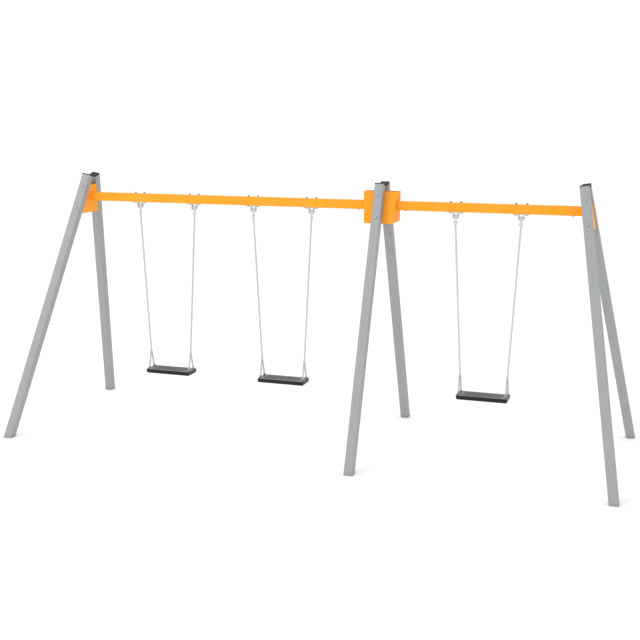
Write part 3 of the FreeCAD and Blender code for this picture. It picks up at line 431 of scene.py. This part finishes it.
# %% Measuring helpers
def box_where(node, passes):
    """Lowest and highest corner of a CAD node's vertices that pass a test."""
    places = [vertex.co for vertex in frame["nodes"][node].data.vertices if passes(vertex.co)]
    return (Vector([min(place[axis] for place in places) for axis in range(3)]),
            Vector([max(place[axis] for place in places) for axis in range(3)]))


def middle_of(corners):
    return (corners[0] + corners[1]) / 2


def swing_middle(number):
    """Middle of a swing along the beam, from its pivot joint."""
    return joints[f"swing_{number}_pivot"]["pos_m"][0]


def rock_height(number):
    """Height of the two apex pins that a seat rocks on."""
    return joints[f"seat_{number}_rock"]["pos_m"][2]


for number in SWINGS:
    print("swing", number, "at", swing_middle(number),
          "apex pins at", round(rock_height(number), 4))

# %% [markdown]
# ## Recipes for what repeats
# Chain links, tread bars and weld ripples are each one small form set down many times. Geometry
# Nodes does that from a few named inputs. A `Recipe` is such a tree, and `cook` runs it on a base
# mesh and keeps the result as a plain object, so that nothing is left to work out later.

# %% Geometry recipes
class Recipe(Tree):
    """A Geometry Nodes tree with named inputs, which works on the mesh it is given."""

    SOCKETS = {int: "NodeSocketInt", float: "NodeSocketFloat", tuple: "NodeSocketVector"}

    def __init__(self, name, **inputs):
        self.group = bpy.data.node_groups.new(name, "GeometryNodeTree")
        super().__init__(self.group.nodes, self.group.links)
        face = self.group.interface
        face.new_socket("Mesh", in_out="OUTPUT", socket_type="NodeSocketGeometry")
        face.new_socket("Mesh", in_out="INPUT", socket_type="NodeSocketGeometry")
        for word, value in inputs.items():
            socket = face.new_socket(word, in_out="INPUT", socket_type=self.SOCKETS[type(value)])
            socket.default_value = value
        face.new_socket("finish", in_out="INPUT", socket_type="NodeSocketMaterial")
        self.start = self.nodes.new("NodeGroupInput")
        self.mesh = self["Mesh"]

    def __getitem__(self, word):
        return Signal(self, self.start.outputs[word])

    def vector(self, x, y, z):
        return self.node("ShaderNodeCombineXYZ", {}, {"X": x, "Y": y, "Z": z})

    def position(self):
        return self.node("GeometryNodeInputPosition")

    def moved_to(self, geometry, place):
        return self.node("GeometryNodeSetPosition", {}, {"Geometry": geometry, "Position": place})

    def pulled_apart(self, value, half_gap):
        """Move a coordinate away from zero by half a gap, on either side."""
        side = self.node("ShaderNodeMath", {"operation": "SIGN"}, {0: value})
        return value + side * half_gap

    def end(self, instances, also=None):
        """Turn instances to mesh, join what else there is, and give it all the finish."""
        mesh = self.node("GeometryNodeRealizeInstances", {}, {"Geometry": instances})
        mesh = self.node("GeometryNodeSetShadeSmooth", {}, {"Geometry": mesh})
        if also is not None:
            join = self.nodes.new("GeometryNodeJoinGeometry")
            self.links.new(also.socket, join.inputs[0])
            self.links.new(mesh.socket, join.inputs[0])
            mesh = Signal(self, join.outputs[0])
        made = self.node("GeometryNodeSetMaterial", {}, {
            "Geometry": mesh, "Material": self["finish"]})
        self.give(self.nodes.new("NodeGroupOutput").inputs[0], made)


def cook(recipe, name, base, finish, **sizes):
    """Run a recipe on a base mesh and keep the result as one plain object."""
    pot = bpy.data.objects.new("pot", base)
    scene.collection.objects.link(pot)
    step = pot.modifiers.new("recipe", "NODES")
    step.node_group = recipe.group
    values = dict(sizes, finish=finish.material)
    for item in recipe.group.interface.items_tree:
        if item.in_out == "INPUT" and item.name in values:
            step[item.identifier] = values[item.name]
    ready = pot.evaluated_get(bpy.context.evaluated_depsgraph_get())
    mesh = bpy.data.meshes.new_from_object(ready)
    bpy.data.objects.remove(pot)
    mesh.name = name
    piece = bpy.data.objects.new(name, mesh)
    scene.collection.objects.link(piece)
    print(name, len(mesh.polygons), "faces")
    return piece


def mesh_of_edges(name, runs):
    """A mesh with one loose edge for each pair of places."""
    mesh = bpy.data.meshes.new(name)
    places = [place for run in runs for place in run]
    mesh.from_pydata(places, [(2 * i, 2 * i + 1) for i in range(len(runs))], [])
    return mesh


print("recipes ready")

# %% [markdown]
# ## A recipe for chain
# Short-link chain is one bent and welded link, repeated, each turned a quarter turn from the
# last. Modelling 74 links by hand is hopeless, and an Array modifier can't start a chain in one
# shackle and end it exactly in the next. This recipe takes a mesh of plain edges, one edge for
# each run of chain from its first link's centre to its last, puts a point at each link's centre,
# and sets a link on every point.
#
# The link itself is a circle whose halves are pulled apart, with a round wire swept along it.
# Twelve stops round the path and eight round the wire are enough at any distance, and keep
# hundreds of links light. The recipe also stores how near a point is to a link's end, because
# that is where links rub each other bright, and the finish reads it.

# %% Chain recipe
LINK_PITCH = 0.0185
LINK_WIRE = 0.006
LINK_INSIDE = 0.0084
PATH_STOPS = 12
WIRE_STOPS = 8

chain_recipe = Recipe("short_link_chain", links=74, pitch=LINK_PITCH, wire=LINK_WIRE,
                      inside=LINK_INSIDE, first_faces=(1.0, 0.0, 0.0))
r = chain_recipe
bend = 0.5 * (r["inside"] + r["wire"])
half_straight = 0.5 * (r["pitch"] + r["wire"]) - bend
circle = r.node("GeometryNodeCurvePrimitiveCircle", {}, {
    "Resolution": PATH_STOPS, "Radius": (1 / math.cos(math.pi / PATH_STOPS)) * bend})
circle = r.node("GeometryNodeTransform", {}, {
    "Geometry": circle, "Rotation": (0, 0, math.pi / PATH_STOPS)})
along = r.pulled_apart(r.axis(r.position(), "Y"), half_straight)
path = r.moved_to(circle, r.vector(0, r.axis(r.position(), "X"), along))
wire = r.node("GeometryNodeCurvePrimitiveCircle", {}, {
    "Resolution": WIRE_STOPS, "Radius": 0.5 * r["wire"]})
link = r.node("GeometryNodeCurveToMesh", {}, {"Curve": path, "Profile Curve": wire})
reach = r.node("ShaderNodeMath", {"operation": "ABSOLUTE"}, {0: r.axis(r.position(), "Z")})
link = r.node("GeometryNodeStoreNamedAttribute", {"data_type": "FLOAT", "domain": "POINT"}, {
    "Geometry": link, "Name": "towards_end", "Value": (1 / LINK_PITCH) * reach})
runs = r.node("GeometryNodeMeshToCurve", {}, {"Mesh": r.mesh})
spread = r.nodes.new("GeometryNodeCurveToPoints")
spread.mode = "COUNT"
r.give(spread.inputs["Curve"], runs)
r.give(spread.inputs["Count"], r["links"])
aim = r.node("FunctionNodeAxesToRotation", {"primary_axis": "Z", "secondary_axis": "X"}, {
    "Primary Axis": Signal(r, spread.outputs["Tangent"]), "Secondary Axis": r["first_faces"]})
odd = (r.node("GeometryNodeInputIndex") % r["links"]) % 2
quarter = r.node("FunctionNodeEulerToRotation", {}, {
    "Euler": r.vector(0, 0, (math.pi / 2) * odd)})
turned = r.node("FunctionNodeRotateRotation", {"rotation_space": "LOCAL"}, {
    "Rotation": aim, "Rotate By": quarter})
r.end(r.node("GeometryNodeInstanceOnPoints", {}, {
    "Points": Signal(r, spread.outputs["Points"]), "Instance": link, "Rotation": turned}))
print("a link is", 1000 * (LINK_PITCH + 2 * LINK_WIRE), "mm long")

# %% [markdown]
# ## Chain finish
# Chain is galvanised in a drum, so it is brighter than the legs, dull in the middle of each link
# and rubbed bright at both ends. A few specks of rust sit where the zinc has worn through.

# %% Chain steel
LINK_BRIGHT = (0.68, 0.69, 0.70, 1)
LINK_DULL = (0.40, 0.41, 0.42, 1)

chain_steel = Finish("chain_steel", {"Specular IOR Level": 0.5})
ends = chain_steel.node("ShaderNodeAttribute", {"attribute_name": "towards_end"}, output="Fac")
rubbed_end = chain_steel.ramp(ends, 0.42, 0.68)
patches = chain_steel.noise(120, 3, 0.65)
rust = 0.5 * chain_steel.ramp(chain_steel.noise(210, 3, 0.7), 0.62, 0.72)
brightness = 0.35 + 0.5 * rubbed_end + 0.3 * (patches - 0.5)
link_colour = chain_steel.tint(brightness, LINK_DULL, LINK_BRIGHT)
chain_steel.feed("Base Color", chain_steel.tint(rust * (1 - rubbed_end), link_colour, RUST))
chain_steel.feed("Metallic", 0.92 - 0.4 * rust)
chain_steel.feed("Roughness", 0.42 + 0.2 * patches - 0.14 * rubbed_end)
chain_steel.feed("Normal", chain_steel.relief(chain_steel.noise(900, 2), 0.0001))
print("chain steel ready")

# %% [markdown]
# ## Two hanging chains on each swing
# Each hanging chain starts in the bow of the top shackle and ends in the bow of the apex shackle.
# A link's inside rests on the bow's wire, so the run goes from the upper bow's inner face to the
# lower bow's inner face, and 74 pitches fit between them. The two shackles on a side share one
# node, so they are told apart by height and side. The first and last links face along the beam,
# which lets them close round bows that also lie along it.

# %% Hanging chains
ABOVE_APEX = 0.5
BOW_TIP = 0.004


def bow_inner_face(number, side, upper):
    """Where a link bears on a bow: the middle of the bow, a wire's thickness inside it."""
    centre = swing_middle(number)
    level = rock_height(number) + ABOVE_APEX

    def on_this_shackle(place):
        return (place.x - centre) * side > 0 and (place.z > level) == upper

    low, high = box_where(f"shackles_{number}", on_this_shackle)
    tip = low.z if upper else high.z
    near = box_where(f"shackles_{number}", lambda place: on_this_shackle(place)
                     and abs(place.z - tip) < BOW_TIP)
    thickness = near[1].y - near[0].y
    return Vector(((low.x + high.x) / 2, 0, tip + (thickness if upper else -thickness)))


def link_centres(start, end, links):
    """First and last link centre of a tight run between two bearing places."""
    half_link = (end - start) / links / 2
    return start + half_link, end - half_link


SIDES = {"left": -1, "right": 1}
for number in SWINGS:
    for side, sign in SIDES.items():
        start = bow_inner_face(number, sign, upper=True)
        end = bow_inner_face(number, sign, upper=False)
        links = round((end - start).length / LINK_PITCH)
        base = mesh_of_edges("chain_line", [link_centres(start, end, links)])
        chain = cook(chain_recipe, f"chain_links_{side}_{number}", base, chain_steel,
                     links=links, pitch=(end - start).length / links)
        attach(chain, f"swing_{number}")
        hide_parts(f"chain_{side}_{number}")
print("each hanging chain has", links, "links over", round((end - start).length, 4), "m")

# %% [markdown]
# ## Four short chains under each apex
# From each apex pin two short chains spread to the front and the rear of the seat. They share the
# pin side by side, so each keeps the place along the beam that its CAD stand-in has. A chain's
# last link bears on the far side of its pin or bolt, so the run is longer than the distance
# between them by a pin's radius at each end.

# %% Seat chains
PIN_RADIUS = 0.004
CLEAR_OF_PIN = 0.02


def seat_chain_run(number, side, depth):
    """Bearing places of one short chain: over its apex pin and under its seat bolt."""
    centre = swing_middle(number)
    node = f"seat_bolts_{number}"
    bolt = middle_of(box_where(node, lambda place: (place.x - centre) * side > 0
                               and place.y * depth > 0))
    rod = middle_of(box_where(f"seat_chains_{number}", lambda place: (place.x - centre) * side > 0
                              and place.y * depth > CLEAR_OF_PIN))
    foot = Vector((rod.x, bolt.y, bolt.z))
    head = Vector((rod.x, 0, rock_height(number)))
    overhang = PIN_RADIUS * (foot - head).normalized()
    return head - overhang, foot + overhang


for number in SWINGS:
    spans = [seat_chain_run(number, side, depth) for side in (-1, 1) for depth in (-1, 1)]
    length = (spans[0][1] - spans[0][0]).length
    links = round(length / LINK_PITCH)
    base = mesh_of_edges("seat_chain_lines", [link_centres(*span, links) for span in spans])
    short_chains = cook(chain_recipe, f"seat_chain_links_{number}", base, chain_steel,
                        links=links, pitch=length / links)
    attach(short_chains, f"swing_seat_{number}")
    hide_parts(f"seat_chains_{number}")
print("each short chain has", links, "links over", round(length, 4), "m")

# %% [markdown]
# ## Rubber seats
# The seat is black rubber moulded round a steel insert. Its outline is a rectangle with round
# corners, and its section is the same all the way round: a soft upper edge, an upright band, a
# shallow groove that the mould's halves meet in, and a lower skirt that draws in. A shape whose
# section is the same all round is best made as a stack of outlines, each a little smaller or
# lower than the last, joined by faces. Recesses round the lugs are cut from the finished stack,
# and a bevel softens their rims.

# %% Seat stack
CORNER_STEPS = 8
SEAT_CORNER = 0.012
EDGE_ROUND = 0.006
SKIRT_ROUND = 0.007
SKIRT_DRAW = 0.005
GROOVE_DEPTH = 0.0022
GROOVE_HALF = 0.002
BAND_HEIGHT = 0.021
RIM_WIDTH = 0.010
FIELD_DROP = 0.0014
UNDERSIDE_RIM = 0.022
UNDERSIDE_FIELD = 0.024
SMALLEST_CORNER = 0.004
RECESS = Vector((0.022, 0.040, 0.005))
RECESS_BEVEL = 0.0012


def arc_section(inset, height, radius, first, last, steps=5):
    """Section points on an arc about a centre, as insets and heights."""
    angles = [math.radians(first + (last - first) * i / steps) for i in range(steps + 1)]
    return [(inset - radius * math.cos(a), height + radius * math.sin(a)) for a in angles]


def seat_section(thickness):
    """Insets and heights from the underside's field to the top's field."""
    field = RIM_WIDTH + FIELD_DROP
    lower = arc_section(SKIRT_DRAW + SKIRT_ROUND, SKIRT_ROUND - thickness, SKIRT_ROUND, -90, 0)
    upper = arc_section(EDGE_ROUND, -EDGE_ROUND, EDGE_ROUND, 0, 90)
    return [
        (UNDERSIDE_FIELD, 2 * FIELD_DROP - thickness),
        (UNDERSIDE_RIM, -thickness),
        *lower,
        (GROOVE_DEPTH / 2, -BAND_HEIGHT - 2 * GROOVE_HALF),
        (GROOVE_DEPTH, -BAND_HEIGHT - GROOVE_HALF),
        (GROOVE_DEPTH, -BAND_HEIGHT),
        (0, -BAND_HEIGHT + GROOVE_HALF),
        *upper,
        (RIM_WIDTH, 0),
        (field, -FIELD_DROP),
    ]


def seat_outline(half_long, half_deep, inset):
    """Places round a rectangle with round corners, drawn in by an inset."""
    radius = max(SEAT_CORNER - inset, SMALLEST_CORNER)
    across, deep = half_long - inset - radius, half_deep - inset - radius
    places = []
    for quarter, (x, y) in enumerate(((1, 1), (-1, 1), (-1, -1), (1, -1))):
        for step in range(CORNER_STEPS + 1):
            angle = (quarter + step / CORNER_STEPS) * math.pi / 2
            places.append((x * across + radius * math.cos(angle),
                           y * deep + radius * math.sin(angle)))
    return places


def seat_stack(number):
    """The seat's mesh before its recesses, in its place."""
    low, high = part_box(f"seat_{number}")
    centre = middle_of((low, high))
    form = bmesh.new()
    rings = []
    for inset, height in seat_section(high.z - low.z):
        outline = seat_outline((high.x - low.x) / 2, (high.y - low.y) / 2, inset)
        rings.append([form.verts.new((centre.x + x, centre.y + y, high.z + height))
                      for x, y in outline])
    for below, above in zip(rings, rings[1:]):
        for i in range(len(below)):
            j = (i + 1) % len(below)
            form.faces.new((below[i], below[j], above[j], above[i]))
    form.faces.new(reversed(rings[0]))
    form.faces.new(rings[-1])
    mesh = bpy.data.meshes.new(f"seat_stack_{number}")
    form.to_mesh(mesh)
    form.free()
    return mesh


def recess_cutters(number):
    """One mesh of four boxes, each round the pair of lugs at a corner of the seat."""
    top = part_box(f"seat_{number}")[1].z
    centre = swing_middle(number)
    boxes = bmesh.new()
    for side in (-1, 1):
        for depth in (-1, 1):
            lugs = middle_of(box_where(f"seat_core_{number}", lambda place: place.z > top
                                       and (place.x - centre) * side > 0
                                       and place.y * depth > 0))
            made = bmesh.ops.create_cube(boxes, size=1.0)["verts"]
            for vertex in made:
                vertex.co = Vector((lugs.x + vertex.co.x * RECESS.x,
                                    lugs.y + vertex.co.y * RECESS.y,
                                    top + vertex.co.z * 2 * RECESS.z))
    mesh = bpy.data.meshes.new("recesses")
    boxes.to_mesh(mesh)
    boxes.free()
    return mesh


def moulded_seat(number):
    """Seat mesh with its recesses cut and their rims softened."""
    seat = bpy.data.objects.new("seat_work", seat_stack(number))
    cutter = bpy.data.objects.new("recess_work", recess_cutters(number))
    for item in (seat, cutter):
        scene.collection.objects.link(item)
    cut = seat.modifiers.new("recesses", "BOOLEAN")
    cut.object = cutter
    cut.solver = "EXACT"
    soften = seat.modifiers.new("rims", "BEVEL")
    soften.width = RECESS_BEVEL
    soften.segments = 2
    soften.limit_method = "ANGLE"
    soften.angle_limit = math.radians(50)
    ready = seat.evaluated_get(bpy.context.evaluated_depsgraph_get())
    mesh = bpy.data.meshes.new_from_object(ready)
    for item in (seat, cutter):
        bpy.data.objects.remove(item)
    mesh.shade_smooth()
    mesh.set_sharp_from_angle(angle=math.radians(38))
    return mesh


seat_meshes = {number: moulded_seat(number) for number in SWINGS}
print("a moulded seat has", len(seat_meshes[1].polygons), "faces")

# %% [markdown]
# ## Tread
# Low bars on the top keep a wet seat from being slippery. They stand in staggered rows, as bricks
# do, so a grid of points with every other row shifted by half a pitch places them. Each bar is a
# ball pulled out along its length and pressed flat.

# %% Tread recipe
tread_recipe = Recipe("staggered_bars", rows=15, columns=12, row_pitch=0.01, bar_pitch=0.03,
                      bar_length=0.023, bar_width=0.0042, bar_height=0.001,
                      middle=(0.0, 0.0, 0.0))
r = tread_recipe
grid = r.node("GeometryNodeMeshGrid", {}, {
    "Size X": (r["columns"] - 1) * r["bar_pitch"], "Size Y": (r["rows"] - 1) * r["row_pitch"],
    "Vertices X": r["columns"], "Vertices Y": r["rows"]})
stagger = (((r.node("GeometryNodeInputIndex") % r["rows"]) % 2) - 0.5) * r["bar_pitch"] * 0.5
shifted = r.node("ShaderNodeVectorMath", {"operation": "ADD"}, {
    0: r["middle"], 1: r.vector(stagger, 0, 0)})
grid = r.node("GeometryNodeSetPosition", {}, {"Geometry": grid, "Offset": shifted})
ball = r.node("GeometryNodeMeshUVSphere", {}, {"Segments": 10, "Rings": 5, "Radius": 1.0})
half_width = 0.5 * r["bar_width"]
pulled = r.pulled_apart(r.axis(r.position(), "X") * half_width,
                        0.5 * r["bar_length"] - half_width)
bar = r.moved_to(ball, r.vector(pulled, r.axis(r.position(), "Y") * half_width,
                                r.axis(r.position(), "Z") * r["bar_height"]))
r.end(r.node("GeometryNodeInstanceOnPoints", {}, {"Points": grid, "Instance": bar}), also=r.mesh)
print("tread recipe ready")

# %% [markdown]
# ## Seat rubber
# The rubber is nearly black. A pale grey is painted on its top as a painted sheen, which stands
# for the reflection that a low view catches there, and it leaves the sides black. The painted
# sheen is patchy and weaker in the middle, where trousers polish the rubber; wear pales the
# edges, and the mould leaves a fine pebble. The pattern is centred on each seat by subtracting
# that seat's own middle, so each seat has its own material. The tread's bars stop a tenth of a
# millimetre below the rim, which keeps them inside the CAD seat.

# %% Seats
RUBBER = (0.003, 0.003, 0.003, 1)
RUBBER_GREY = (0.010, 0.010, 0.010, 1)
# A pale grey used both for the painted sheen on the top and for scuffed edges.
RUBBER_SHEEN_AND_SCUFF = (0.34, 0.337, 0.333, 1)
# How strongly the painted sheen greys the upward faces.
TOP_PAINTED_SHEEN = 0.75
TREAD_CLEAR = 0.0001


def seat_rubber(number, middle, size):
    """Moulded black rubber with a painted top sheen, worn about the middle of its own seat."""
    rubber = Finish(f"seat_rubber_{number}", {"Specular IOR Level": 0.3})
    local = rubber.stretched((2 / size.x, 2 / size.y, 1), tuple(middle))
    spread_out = rubber.node("ShaderNodeVectorMath", {"operation": "LENGTH"}, {0: local},
                             "Value")
    mottle = rubber.noise(22, 4, 0.65)
    sat_on = rubber.facing_up() * (1 - rubber.ramp(spread_out + 0.5 * mottle, 0.5, 1.3))
    # Patches that vary the painted top sheen and the roughness.
    sheen_patches = rubber.ramp(rubber.noise(55, 4, 0.7), 0.5, 0.8)
    scuffed = rubber.corners(0.002) * rubber.ramp(rubber.noise(130, 3), 0.45, 0.7)
    colour = rubber.tint(rubber.ramp(mottle, 0.3, 0.75), RUBBER, RUBBER_GREY)
    # Painted sheen: upward faces are greyed to stand for reflected light, patchy, and weaker
    # where the seat is sat on.
    painted_top_sheen = TOP_PAINTED_SHEEN * rubber.facing_up() * (0.6 + 0.6 * sheen_patches - 0.3 * sat_on)
    # The painted top sheen and the paler scuffed edges share one grey.
    colour = rubber.tint(painted_top_sheen + 0.15 * scuffed, colour, RUBBER_SHEEN_AND_SCUFF)
    rubber.feed("Base Color", colour)
    rubber.feed("Roughness", 0.30 + 0.12 * mottle + 0.06 * sheen_patches - 0.06 * sat_on)
    rubber.feed("Normal", rubber.relief(rubber.cells(650), 0.00018, rubber.rounded(0.001)))
    return rubber


for number in SWINGS:
    low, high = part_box(f"seat_{number}")
    centre = middle_of((low, high))
    rubber = seat_rubber(number, centre, high - low)
    seat = cook(tread_recipe, f"rubber_seat_{number}", seat_meshes[number], rubber,
                bar_height=FIELD_DROP - TREAD_CLEAR,
                middle=(centre.x, centre.y, high.z - FIELD_DROP))
    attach(seat, f"swing_seat_{number}")
    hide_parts(f"seat_{number}")

# %% [markdown]
# ## Weld beads on the brackets
# Each bracket's two ears are welded to its base plate along their outer faces. A weld bead is a
# row of overlapping ripples, so it is one more thing that follows a line: small balls, closer
# together than they are wide, with a little seeded unevenness because a hand made them.

# %% Weld recipe
BASE_PLATE = 0.008
BELOW_PLATE = 0.002
SEAM_SHORTER = 0.003

weld_recipe = Recipe("weld_bead", ripple_pitch=0.0022, bead_width=0.005, unevenness=0.12, seed=7)
r = weld_recipe
seam = r.node("GeometryNodeMeshToCurve", {}, {"Mesh": r.mesh})
ripples = r.nodes.new("GeometryNodeCurveToPoints")
ripples.mode = "LENGTH"
r.give(ripples.inputs["Curve"], seam)
r.give(ripples.inputs["Length"], r["ripple_pitch"])
wobble = r.node("FunctionNodeRandomValue", {"data_type": "FLOAT"}, {
    "Min": 1 - r["unevenness"], "Max": 1 + r["unevenness"], "Seed": r["seed"]}, 1)
ripple = r.node("GeometryNodeMeshUVSphere", {}, {
    "Segments": 8, "Rings": 5, "Radius": 0.5 * r["bead_width"]})
r.end(r.node("GeometryNodeInstanceOnPoints", {}, {
    "Points": Signal(r, ripples.outputs["Points"]), "Instance": ripple,
    "Scale": r.vector(wobble, wobble, wobble)}))


def ear_seams(number):
    """Lines where the outer faces of a bracket pair's four ears meet their base plates."""
    node = f"hanger_brackets_{number}"
    centre = swing_middle(number)
    plate_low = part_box(node)[1].z - BASE_PLATE
    seams = []
    for side in (-1, 1):
        low, high = box_where(node, lambda place: (place.x - centre) * side > 0
                              and place.z < plate_low - BELOW_PLATE)
        for face in (low.x, high.x):
            seams.append([Vector((face, y, plate_low))
                          for y in (low.y + SEAM_SHORTER, high.y - SEAM_SHORTER)])
    return seams


all_seams = [seam for number in SWINGS for seam in ear_seams(number)]
beads = cook(weld_recipe, "bracket_weld_beads", mesh_of_edges("ear_seams", all_seams),
             hanger_steel)
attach(beads, "frame")
